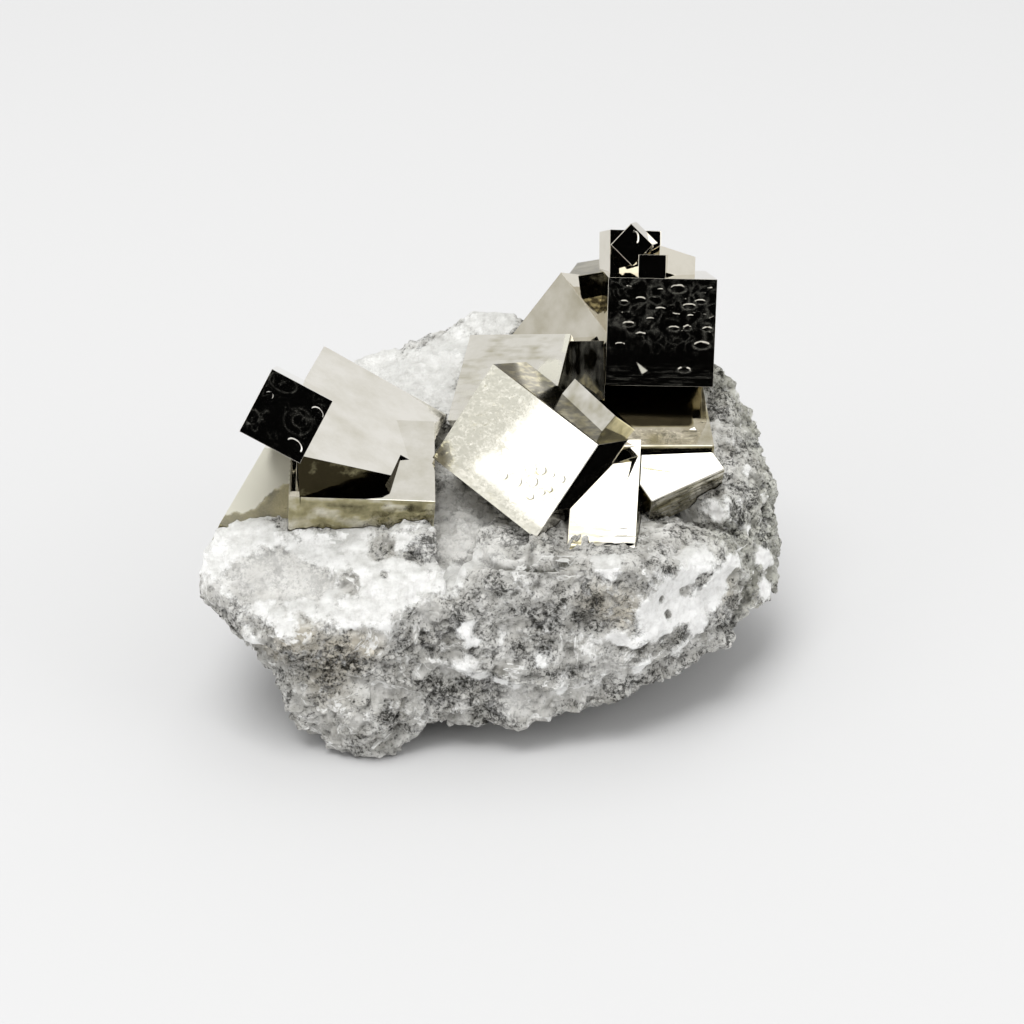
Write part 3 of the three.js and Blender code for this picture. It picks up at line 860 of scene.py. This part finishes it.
# ---- The upper crystals ----------------------------------------------------------------
# Nine intergrown crystals at the top right: the great cube with its pitted black face,
# the ledge under it, three blocks beside it and four small ones on top.
GREAT_PITS = (
    ((2.9, 8.4), (1.6, 0.85), 0.12), ((5.2, 5.1), (1.4, 0.6), 0.14), ((-6.3, 1.5), (1.2, 0.55), 0.16),
    ((2.4, 0.8), (1.2, 0.5), 0.14), ((5.0, 1.0), (0.8, 0.55), 0.16), ((8.9, 0.8), (1.1, 0.5), 0.16),
    ((7.9, -2.3), (1.6, 0.8), 0.16), ((4.7, -7.1), (1.3, 0.6), 0.2), ((-7.3, 5.6), (0.9, 0.5), 0.12),
    ((7.3, 6.0), (1.2, 0.5), 0.12), ((2.6, 3.0), (1.3, 0.9), 0.06), ((8.0, 3.2), (1.0, 0.6), 0.08),
    ((9.2, 8.2), (0.9, 0.7), 0.1), ((-6.6, 8.4), (0.9, 0.5), 0.1), ((-4.2, 6.2), (1.1, 0.6), 0.1),
    ((-0.3, 4.3), (1.3, 0.6), 0.11), ((-2.2, 2.4), (1.0, 0.5), 0.1), ((5.5, 3.2), (0.8, 0.4), 0.1),
    ((-7.8, -2.5), (1.1, 0.5), 0.1), ((-0.4, 8.0), (0.9, 0.5), 0.1), ((-4.0, -0.5), (1.2, 0.5), 0.1))
CHIP = ((-4.5, -5.8), (-2.3, -7.4), (-3.4, -8.1))


def inside(u, v, corners):
    """How far a point lies inside a triangle given clockwise, in mm; negative outside."""
    best = 1e9
    for (au, av), (bu, bv) in zip(corners, corners[1:] + corners[:1]):
        length = math.hypot(bu - au, bv - av)
        best = min(best, ((bv - av) * (u - au) - (bu - au) * (v - av)) / length)
    return best


def upper_part(v):
    return smooth(v, -5.0, 0.5)


def great_cube_relief(u, v):
    h = wave(u, v, 0.03, 3.5, 21) + wave(u, v, 0.012, 0.8, 24)
    h += 0.045 * cells(u, v, 2.1, 0.2, 23) * upper_part(v)
    h += 0.02 * streaks(u, v, 6, 0.35, 25) * smooth(v, -5.0, -9.0)
    for at, radii, depth in GREAT_PITS:
        h += pit(u, v, at, radii, 0, 0.5 * depth, 0.15)
    return h


# painted highlight: the pit rims are laid pale, brighter on their lower side
def great_cube_dust_and_highlights(u, v):
    net = cells(u, v, 2.1, 0.16, 23) * smooth(streaks(u, v, 4, 4, 26), -0.35, 0.25) * upper_part(v)
    fine = cells(u, v, 0.9, 0.12, 27) * smooth(streaks(u, v, 3, 3, 28), 0.0, 0.5) * upper_part(v)
    rim_highlights = 0.0
    for at, radii, depth in GREAT_PITS:
        if depth > 0.11:
            rim_highlights = max(rim_highlights, ring(u, v, at, radii, 0.16) * (0.6 + 0.6 * smooth(v - at[1], 0.2, -0.6)))
    lines = 0.10 * smooth(streaks(u, v, 5, 0.3, 29), 0.1, 0.5) * smooth(v, -5.5, -8.5)
    spotty = 0.75 + 0.8 * noise.noise(Vector((u / 0.5, v / 0.5, 30)))
    chip = smooth(inside(u, v, CHIP), -0.05, 0.1)
    return max(chip, (0.08 * net + 0.04 * fine + 0.13 * rim_highlights + 0.6 * lines) * spotty)


def diamond_relief(u, v):
    return pit(u, v, (-0.4, 1.7), (1.2, 0.5), -40, 0.06) + wave(u, v, 0.012, 1.0, 31)


def beige_right(u, v):
    return 0.95 + 0.4 * noise.noise(Vector((u / 1.2, v / 12, 32)))


def ledge_tarnish_and_reflection(u, v):
    # painted reflection: the dark patch over the front face, above its lower band and left of a slanted
    # edge, stands for the great cube's dark underside mirrored in it
    dark = smooth(v, -5.2, -4.7) * smooth(u - 0.12 * (v + 4.8), 8.6, 8.1)
    return 0.2 + 0.3 * streaks(u, v, 7, 7, 33) + 1.3 * dark


upper_parts = [
    crystal("ledge block", "upper_cluster", (24.0, 12.0, 22.0), (5.9, -10.7, -14.1), (13, -77, 9), 0.6,
            tarnish_shade_and_reflection={"front": ledge_tarnish_and_reflection, "bottom": 0.5}),
    crystal("inner block", "upper_cluster", (9.2, 10.0, 11.5), (-5.7, -3.7, -4.0), (-8, -24, -4), 0.3,
            tarnish_shade_and_reflection={"front": lambda u, v: 0.8 + 0.5 * streaks(u, v, 1.5, 4, 34)},
            dust_and_highlight={"front": lambda u, v: 0.03 + 0.12 * streaks(u, v, 1.5, 4, 37)}),
    crystal("great cube", "upper_cluster", (20.8, 19.0, 20.7), (8.7, 1.8, 2.6), (2, -19, 2), 0.14,
            {"front": great_cube_relief}, dust_and_highlight={"front": great_cube_dust_and_highlights}, deep=0.8),
    crystal("beige cube", "upper_cluster", (18.0, 14.0, 17.3), (-5.6, 5.3, -1.5), (-45, -22, 27), 0.5,
            tarnish_shade_and_reflection={"front": lambda u, v: 0.14 + 0.15 * streaks(u, v, 6, 6, 35), "right": beige_right}),
    crystal("grey block", "upper_cluster", (9.6, 14.0, 16.0), (-1.4, 14.1, 1.6), (-11, -11, -14), 0.4,
            tarnish_shade_and_reflection={"front": lambda u, v: 0.75 + 0.9 * streaks(u, v, 2, 2, 36), "left": 0.6, "top": 0.6}),
    crystal("summit cube", "upper_cluster", (10.5, 7.0, 8.6), (3.7, 11.7, 13.9), (17, -26, 8), 0.3),
    crystal("summit diamond", "upper_cluster", (5.9, 6.0, 5.7), (4.2, 6.9, 18.0), (-14, -19, 39), 0.12,
            {"front": diamond_relief}, deep=0.4),
    crystal("summit brick", "upper_cluster", (5.3, 6.0, 5.0), (7.9, 4.0, 14.3), (-10, -22, -3), 0.4),
    crystal("summit slab", "upper_cluster", (8.4, 8.0, 5.3), (10.6, 8.1, 11.8), (41, -40, 33), 0.4)]
# A slightly duller and warmer mirror, which looks black where it faces a dark card.
dark_pyrite = pyrite("dark pyrite", "#DED9CC", "#A0987A", "#3E3829", 0.03)
upper = grow_together("upper_crystals", upper_parts)
finish_piece(upper, dark_pyrite, "upper_cluster")


# ---- The marl's surface and sockets ----------------------------------------------------
# Marl is a fine clay and lime stone: dull, porous, grey with dark grains, so it scatters light without any
# shine. Calcite is a rough white crust with a ragged edge. The noise scales are patterns to the millimetre.
# Most of the crystals get a socket a little larger than them.
def marl():
    material = new_material("marl with calcite")
    tree = material.node_tree
    place = add_node(tree, "ShaderNodeTexCoord").outputs["Object"]
    crust = add_node(tree, "ShaderNodeAttribute", {"attribute_name": "calcite"}).outputs["Fac"]
    rust = add_node(tree, "ShaderNodeAttribute", {"attribute_name": "ochre"}).outputs["Fac"]
    light = add_node(tree, "ShaderNodeAttribute", {"attribute_name": "pale"}).outputs["Fac"]
    green = add_node(tree, "ShaderNodeAttribute", {"attribute_name": "knobbly"}).outputs["Fac"]
    hollow = add_node(tree, "ShaderNodeAttribute", {"attribute_name": "hollow"}).outputs["Fac"]
    cloud = add_node(tree, "ShaderNodeTexNoise", {"Scale": 0.17 / MM, "Detail": 6.0, "Roughness": 0.65},
                     {"Vector": place}).outputs[0]
    speck = add_node(tree, "ShaderNodeTexNoise", {"Scale": 1.5 / MM, "Detail": 5.0, "Roughness": 0.8,
                     "Distortion": 0.4}, {"Vector": place}).outputs[0]
    frost = add_node(tree, "ShaderNodeTexNoise", {"Scale": 0.33 / MM, "Detail": 7.0, "Roughness": 0.75,
                     "Distortion": 1.2}, {"Vector": place}).outputs[0]
    base = add_node(tree, "ShaderNodeValToRGB", links={0: cloud})
    base.color_ramp.elements[0].position = 0.32
    base.color_ramp.elements[0].color = linear("#97958E")
    base.color_ramp.elements[1].position = 0.66
    base.color_ramp.elements[1].color = linear("#D5D4D0")
    cluster = add_node(tree, "ShaderNodeTexNoise", {"Scale": 0.15 / MM, "Detail": 4.0, "Roughness": 0.6,
                       "Distortion": 0.8}, {"Vector": place}).outputs[0]
    crowd = add_node(tree, "ShaderNodeMath", {"operation": "MULTIPLY_ADD", 1: 0.7, 2: -0.35}, {0: cluster})
    crowded = add_node(tree, "ShaderNodeMath", {"operation": "ADD"}, {0: speck, 1: crowd.outputs[0]})
    grain = add_node(tree, "ShaderNodeValToRGB", links={0: crowded.outputs[0]})
    grain.color_ramp.elements[0].position = 0.38
    grain.color_ramp.elements[0].color = linear("#34332F")
    grain.color_ramp.elements[1].position = 0.51
    grain.color_ramp.elements[1].color = linear("#FFFFFF")
    stone = add_node(tree, "ShaderNodeMix", {"data_type": "RGBA", "blend_type": "MULTIPLY", 0: 0.95},
                     {6: base.outputs[0], 7: grain.outputs[0]})
    # painted shade: the stone's colour is multiplied darker in its hollows and cracks
    painted_hollow_shade = add_node(tree, "ShaderNodeMath", {"operation": "MULTIPLY", 1: 0.5}, {0: hollow})
    deep = add_node(tree, "ShaderNodeMix", {"data_type": "RGBA", "blend_type": "MULTIPLY",
                    7: linear("#6F6E68")}, {0: painted_hollow_shade.outputs[0], 6: stone.outputs[2]})
    warm_level = add_node(tree, "ShaderNodeMath", {"operation": "MULTIPLY"}, {0: rust, 1: cloud})
    warm = add_node(tree, "ShaderNodeMix", {"data_type": "RGBA", "blend_type": "MULTIPLY",
                    7: linear("#F0E4CB")}, {0: warm_level.outputs[0], 6: deep.outputs[2]})
    light_level = add_node(tree, "ShaderNodeMath", {"operation": "MULTIPLY", 1: 0.6}, {0: light})
    pale = add_node(tree, "ShaderNodeMix", {"data_type": "RGBA", 7: linear("#DAD9D5")},
                    {0: light_level.outputs[0], 6: warm.outputs[2]})
    green_level = add_node(tree, "ShaderNodeMath", {"operation": "MULTIPLY", 1: 0.5}, {0: green})
    cool = add_node(tree, "ShaderNodeMix", {"data_type": "RGBA", "blend_type": "MULTIPLY",
                    7: linear("#E3E6D8")}, {0: green_level.outputs[0], 6: pale.outputs[2]})
    ragged = add_node(tree, "ShaderNodeTexNoise", {"Scale": 0.52 / MM, "Detail": 7.0, "Roughness": 0.8},
                      {"Vector": place}).outputs[0]
    edge = add_node(tree, "ShaderNodeMath", {"operation": "MULTIPLY_ADD", 1: 2.4, 2: -1.2}, {0: ragged})
    field = add_node(tree, "ShaderNodeMath", {"operation": "ADD"}, {0: crust, 1: edge.outputs[0]})
    cover = add_node(tree, "ShaderNodeMapRange", {"From Min": 0.3, "From Max": 0.75},
                     {"Value": field.outputs[0]})
    snow = add_node(tree, "ShaderNodeValToRGB", links={0: ragged})
    snow.color_ramp.elements[0].position = 0.3
    snow.color_ramp.elements[0].color = linear("#D6D5D2")
    snow.color_ramp.elements[1].position = 0.55
    snow.color_ramp.elements[1].color = linear("#F6F6F4")
    frosted = add_node(tree, "ShaderNodeMapRange", {"From Min": 0.5, "From Max": 0.72, "To Max": 0.55},
                       {"Value": frost})
    seam = add_node(tree, "ShaderNodeTexNoise", {"Scale": 0.062 / MM, "Detail": 5.0, "Roughness": 0.62,
                    "Distortion": 1.1}, {"Vector": place}).outputs[0]
    off_seam = add_node(tree, "ShaderNodeMath", {"operation": "COMPARE", 1: 0.5, 2: 0.011}, {0: seam})
    seamed = add_node(tree, "ShaderNodeMapRange", {"From Min": 0.46, "From Max": 0.6, "To Max": 0.85},
                      {"Value": cluster})
    vein = add_node(tree, "ShaderNodeMath", {"operation": "MULTIPLY"},
                    {0: off_seam.outputs[0], 1: seamed.outputs[0]})
    streaked = add_node(tree, "ShaderNodeMath", {"operation": "MAXIMUM"},
                        {0: vein.outputs[0], 1: frosted.outputs[0]})
    most = add_node(tree, "ShaderNodeMath", {"operation": "MAXIMUM"},
                    {0: cover.outputs[0], 1: streaked.outputs[0]})
    # painted shade: the calcite crust is multiplied darker the more it faces up
    facing = add_node(tree, "ShaderNodeNewGeometry").outputs["Normal"]
    upward = add_node(tree, "ShaderNodeSeparateXYZ", links={0: facing}).outputs["Z"]
    upward_shade_level = add_node(tree, "ShaderNodeMapRange", {"From Min": 0.3, "From Max": 0.95}, {"Value": upward})
    crust_with_painted_top_shade = add_node(tree, "ShaderNodeMix", {"data_type": "RGBA", "blend_type": "MULTIPLY",
                     7: linear("#CDCDCB")}, {0: upward_shade_level.outputs[0], 6: snow.outputs[0]})
    white = add_node(tree, "ShaderNodeMix", {"data_type": "RGBA"},
                     {0: most.outputs[0], 6: cool.outputs[2], 7: crust_with_painted_top_shade.outputs[2]})
    bumps = add_node(tree, "ShaderNodeBump", {"Strength": 0.9, "Distance": 0.4 * MM},
                     {"Height": crowded.outputs[0]})
    shader = add_node(tree, "ShaderNodeBsdfPrincipled", {"Roughness": 0.95,
                      "Specular IOR Level": 0.2}, {"Base Color": white.outputs[2],
                      "Normal": bumps.outputs[0]})
    add_node(tree, "ShaderNodeOutputMaterial", links={"Surface": shader.outputs[0]})
    return material


plate_room = grown_block("broad plate")
for name in ("plate break", "plate notch", "plate end"):
    tool = grown_block(name, -SOCKET_GAP)
    cut(plate_room, tool, "DIFFERENCE")
    bpy.data.objects.remove(tool)
cut(rock, plate_room, "DIFFERENCE")
bpy.data.objects.remove(plate_room)
make_room(rock, ("edge plate", "low block", "bright block", "rear plate", "front block",
                 "right block", "ledge block", "inner block", "great cube", "beige cube", "grey block"))
marl_stone = marl()


# ---- The marl's grains -----------------------------------------------------------------
# Crumbs of the same stone that stand on the bare rough ground, thickest on the right
# shoulder. They are part of the rock's surface, from half a millimetre to two across.
GRAIN_INPUTS = {"Density": 0.09 / MM ** 2, "Smallest": 0.28 * MM, "Largest": 0.85 * MM, "Seed": 7}


def grain_group(material):
    tree = bpy.data.node_groups.new("marl grains", "GeometryNodeTree")
    tree.interface.new_socket("Geometry", in_out="INPUT", socket_type="NodeSocketGeometry")
    tree.interface.new_socket("Density", in_out="INPUT", socket_type="NodeSocketFloat")
    tree.interface.new_socket("Smallest", in_out="INPUT", socket_type="NodeSocketFloat")
    tree.interface.new_socket("Largest", in_out="INPUT", socket_type="NodeSocketFloat")
    tree.interface.new_socket("Seed", in_out="INPUT", socket_type="NodeSocketInt")
    tree.interface.new_socket("Geometry", in_out="OUTPUT", socket_type="NodeSocketGeometry")
    given = add_node(tree, "NodeGroupInput").outputs
    grainy = add_node(tree, "GeometryNodeInputNamedAttribute", {"data_type": "FLOAT", "Name": "grainy"})
    amount = add_node(tree, "ShaderNodeMath", {"operation": "MULTIPLY"},
                      {0: given["Density"], 1: grainy.outputs[0]})
    spots = add_node(tree, "GeometryNodeDistributePointsOnFaces", links={
        "Mesh": given["Geometry"], "Density": amount.outputs[0], "Seed": given["Seed"]})
    size = add_node(tree, "FunctionNodeRandomValue", {"data_type": "FLOAT"},
                    {2: given["Smallest"], 3: given["Largest"], "Seed": given["Seed"]})
    turn = add_node(tree, "FunctionNodeRandomValue", {"data_type": "FLOAT_VECTOR", 1: (6.28, 6.28, 6.28)},
                    {"Seed": given["Seed"]})
    ball = add_node(tree, "GeometryNodeMeshIcoSphere", {"Radius": 1.0, "Subdivisions": 2})
    bend = add_node(tree, "ShaderNodeTexNoise", {"Scale": 1.1, "Detail": 2.0})
    centred = add_node(tree, "ShaderNodeVectorMath", {"operation": "SUBTRACT", 1: (0.5, 0.5, 0.5)},
                       {0: bend.outputs[1]})
    strong = add_node(tree, "ShaderNodeVectorMath", {"operation": "MULTIPLY", 1: (1.8, 1.4, 1.1)},
                      {0: centred.outputs[0]})
    lump = add_node(tree, "GeometryNodeSetPosition", links={
        "Geometry": ball.outputs[0], "Offset": strong.outputs[0]})
    placed = add_node(tree, "GeometryNodeInstanceOnPoints", links={
        "Points": spots.outputs[0], "Instance": lump.outputs[0], "Rotation": turn.outputs[0],
        "Scale": size.outputs[1]})
    real = add_node(tree, "GeometryNodeRealizeInstances", links={0: placed.outputs[0]})
    dressed = add_node(tree, "GeometryNodeSetMaterial", {"Material": material}, {0: real.outputs[0]})
    add_node(tree, "NodeGroupOutput", links={0: dressed.outputs[0]})
    return tree


grains = link_mesh("marl_grains", rock.data.copy())
grow = grains.modifiers.new("grains", "NODES")
grow.node_group = grain_group(marl_stone)
for socket in grow.node_group.interface.items_tree:
    if socket.name in GRAIN_INPUTS:
        grow[socket.identifier] = GRAIN_INPUTS[socket.name]
settle(grains)
finish_piece(grains, marl_stone, "matrix")
finish_piece(rock, marl_stone, "matrix")
